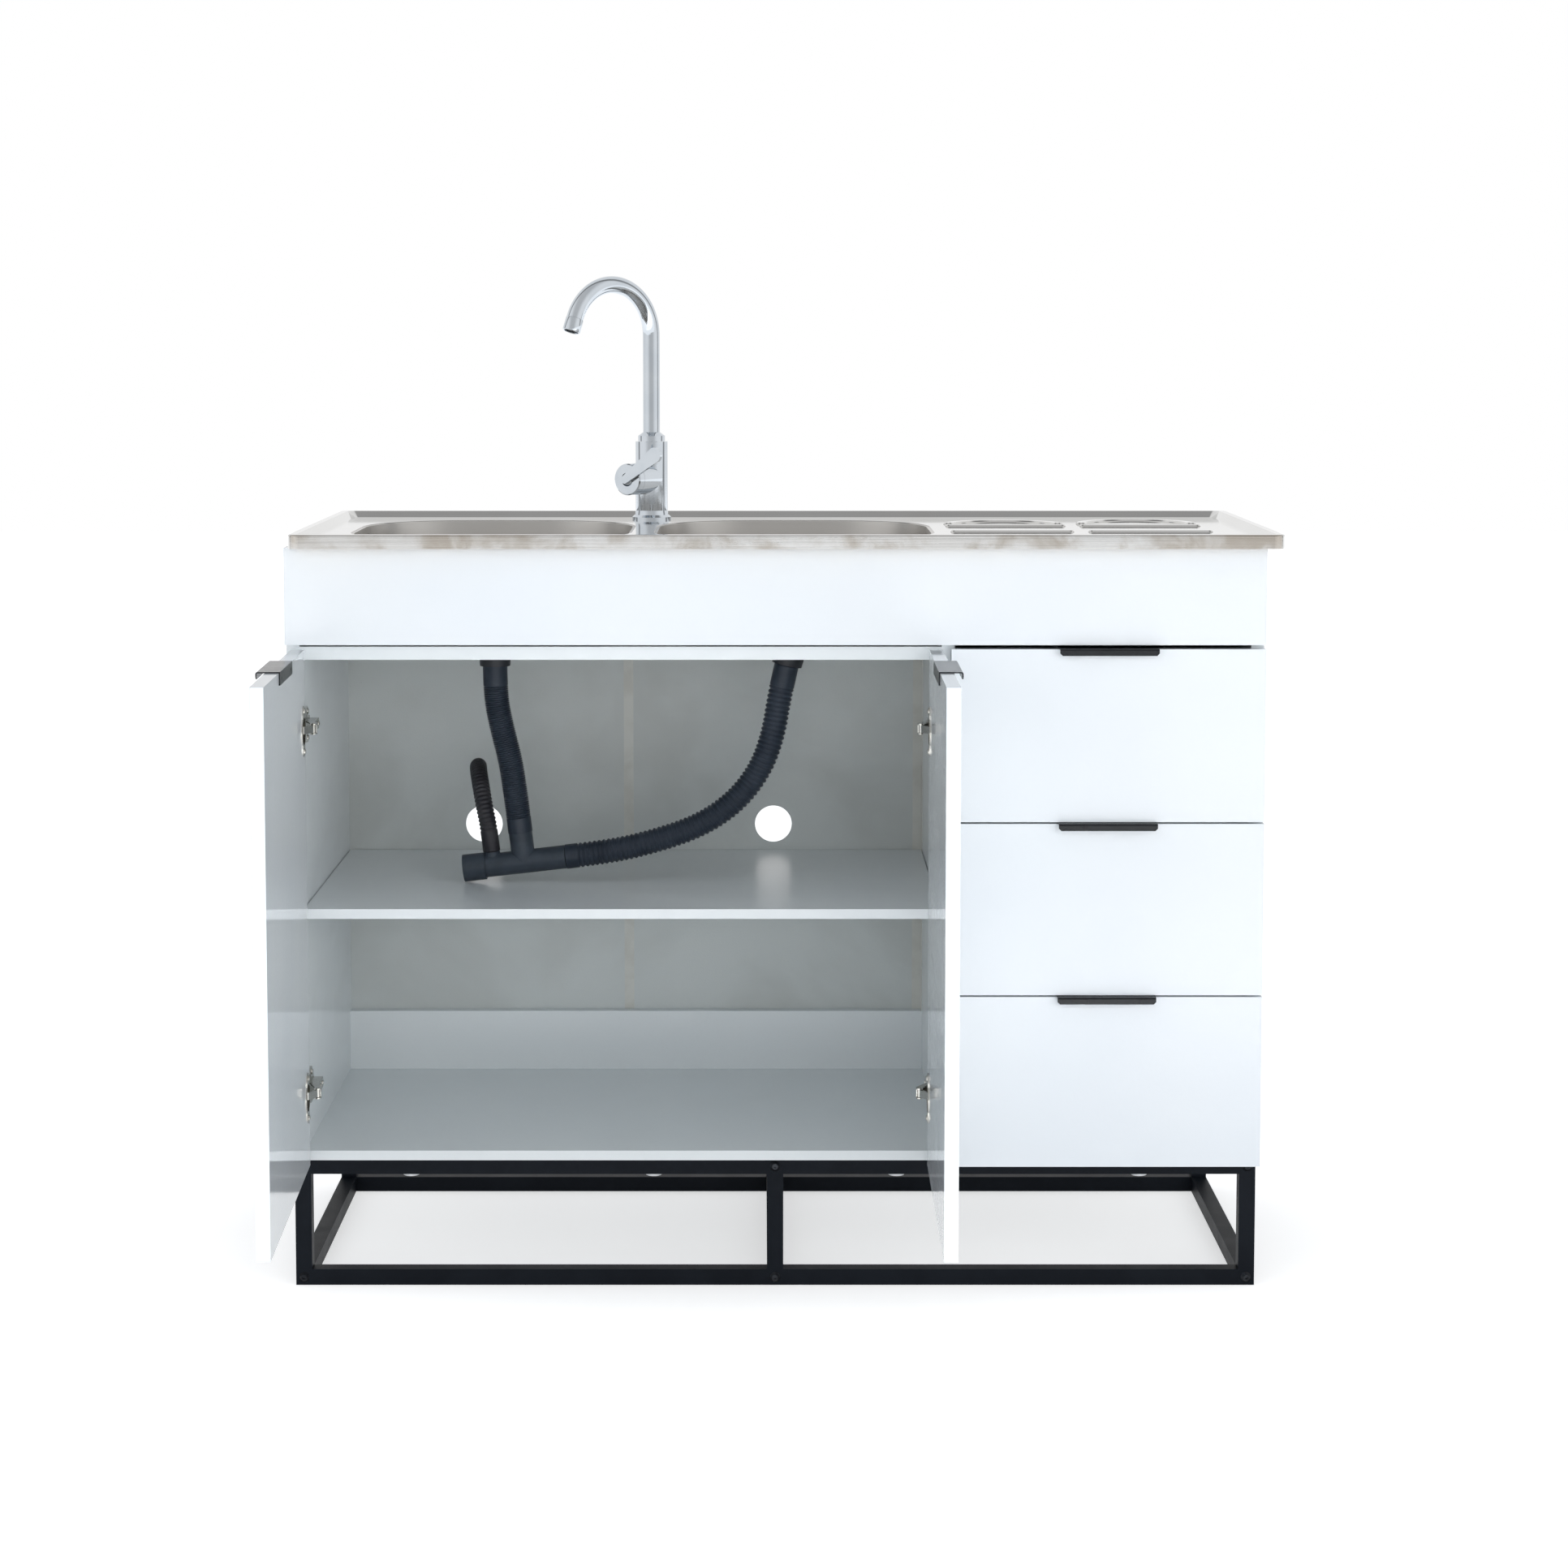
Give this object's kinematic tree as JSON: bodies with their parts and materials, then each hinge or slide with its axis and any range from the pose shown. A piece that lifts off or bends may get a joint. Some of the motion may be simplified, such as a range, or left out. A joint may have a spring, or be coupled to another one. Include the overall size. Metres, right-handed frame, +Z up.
{
  "type": "kitchen sink unit",
  "caption": "White gloss kitchen sink unit on a black square-tube frame: double-bowl steel sink top with drainer, swivel mixer tap, cup-hinged doors, drawers and ribbed waste hoses.",
  "frame": {"origin": "on the floor, at the middle of the footprint of the square-tube frame", "axes": "+Z up, -Y out of the fronts towards the user, +X to the user's right"},
  "size_m": [1.207, 0.8735, 1.2492],
  "materials": {
    "black_frame": "satin black powder coat",
    "zinc": "zinc plate",
    "white_cap": "matte moulded plastic",
    "white_board": "satin white foil on particle board",
    "gloss_front": "high gloss white lacquer on fibreboard",
    "grey_panel": "grey-white painted hardboard",
    "grey_strip": "extruded plastic",
    "black_handle": "fine satin black",
    "nickel": "nickel plate",
    "runner_white": "white powder coat",
    "sink_steel": "satin stainless steel",
    "batten_wood": "raw particle board",
    "waste_plastic": "black polypropylene",
    "nut_plastic": "black polypropylene",
    "basket_steel": "bright stainless steel",
    "tap_chrome": "polished chrome",
    "shank_brass": "raw brass",
    "collector_plastic": "dark grey polypropylene",
    "hose_plastic": "dark blue-grey corrugated plastic",
    "overflow_plastic": "dark brownish grey corrugated plastic"
  },
  "bodies": {
    "cabinet": {"back_panel_left": "grey_panel", "back_panel_right": "grey_panel", "back_strips": "grey_strip", "bottom_board": "white_board", "cabinet_runners": "runner_white", "carcass_rails": "white_board", "collector": "collector_plastic", "cross_rails": "black_frame", "false_front": "gloss_front", "frame_bolts": "zinc", "front_frame": "black_frame", "front_stretcher": "white_board", "left_bowl": "sink_steel", "left_hinge_arms": "nickel", "left_hose": "hose_plastic", "left_side": "white_board", "overflow_hose": "overflow_plastic", "partition": "white_board", "rear_frame": "black_frame", "right_bowl": "sink_steel", "right_hinge_arms": "nickel", "right_hose": "hose_plastic", "right_side": "white_board", "screw_caps": "white_cap", "shelf": "white_board", "shelf_pins": "zinc", "sink_battens": "batten_wood", "sink_deck": "sink_steel", "tap_body": "tap_chrome", "tap_shank": "shank_brass", "waste_bodies": "waste_plastic", "waste_nuts": "nut_plastic"},
    "left_door": {"left_door_panel": "gloss_front", "left_door_handle": "black_handle", "left_hinge_cups": "nickel"},
    "right_door": {"right_door_panel": "gloss_front", "right_door_handle": "black_handle", "right_hinge_cups": "nickel"},
    "left_links": {"left_hinge_links": "nickel"},
    "right_links": {"right_hinge_links": "nickel"},
    "top_drawer": {"top_drawer_front": "gloss_front", "top_drawer_handle": "black_handle", "top_drawer_box": "white_board", "top_drawer_bottom": "white_board", "top_drawer_runners": "runner_white"},
    "middle_drawer": {"middle_drawer_front": "gloss_front", "middle_drawer_handle": "black_handle", "middle_drawer_box": "white_board", "middle_drawer_bottom": "white_board", "middle_drawer_runners": "runner_white"},
    "bottom_drawer": {"bottom_drawer_front": "gloss_front", "bottom_drawer_handle": "black_handle", "bottom_drawer_box": "white_board", "bottom_drawer_bottom": "white_board", "bottom_drawer_runners": "runner_white"},
    "spout": {"tap_spout": "tap_chrome"},
    "cap": {"tap_cap": "tap_chrome"},
    "lever": {"tap_lever": "tap_chrome"},
    "left_strainer": {"left_basket": "basket_steel"},
    "right_strainer": {"right_basket": "basket_steel"}
  },
  "joints": [
    {"name": "left_door_hinge", "type": "hinge", "parent": "cabinet", "child": "left_door", "pos_m": [-0.5865, -0.248, 0.471], "axis": [0, 0, 1], "range_deg": [-17, 88]},
    {"name": "right_door_hinge", "type": "hinge", "parent": "cabinet", "child": "right_door", "pos_m": [0.2025, -0.248, 0.471], "axis": [0, 0, -1], "range_deg": [-15.4, 89.6]},
    {"name": "left_link_pivot", "type": "hinge", "parent": "cabinet", "child": "left_links", "pos_m": [-0.561, -0.238, 0.471], "axis": [0, 0, 1], "range_deg": [-69.6, 13.6]},
    {"name": "right_link_pivot", "type": "hinge", "parent": "cabinet", "child": "right_links", "pos_m": [0.177, -0.238, 0.471], "axis": [0, 0, -1], "range_deg": [-70, 12.2]},
    {"name": "top_drawer_slide", "type": "slide", "parent": "cabinet", "child": "top_drawer", "axis": [0, -1, 0], "range_m": [0, 0.3]},
    {"name": "middle_drawer_slide", "type": "slide", "parent": "cabinet", "child": "middle_drawer", "axis": [0, -1, 0], "range_m": [0, 0.3]},
    {"name": "bottom_drawer_slide", "type": "slide", "parent": "cabinet", "child": "bottom_drawer", "axis": [0, -1, 0], "range_m": [0, 0.3]},
    {"name": "spout_swivel", "type": "hinge", "parent": "cabinet", "child": "spout", "pos_m": [-0.164, 0.177, 1.036], "axis": [0, 0, 1], "continuous": true},
    {"name": "temperature_turn", "type": "hinge", "parent": "cabinet", "child": "cap", "pos_m": [-0.164, 0.177, 0.981], "axis": [-0.5446, -0.8387, 0], "range_deg": [-45, 45]},
    {"name": "lever_lift", "type": "hinge", "parent": "cap", "child": "lever", "pos_m": [-0.19194, 0.13398, 0.981], "axis": [0.481, -0.3124, -0.8192], "range_deg": [0, 25]},
    {"name": "left_strainer_lift", "type": "slide", "parent": "cabinet", "child": "left_strainer", "axis": [0, 0, 1], "range_m": [0, 0.1]},
    {"name": "right_strainer_lift", "type": "slide", "parent": "cabinet", "child": "right_strainer", "axis": [0, 0, 1], "range_m": [0, 0.1]}
  ],
  "couplings": [
    {"joint": "left_link_pivot", "follows": "left_door_hinge", "ratio": -0.789},
    {"joint": "right_link_pivot", "follows": "right_door_hinge", "ratio": -0.779}
  ]
}
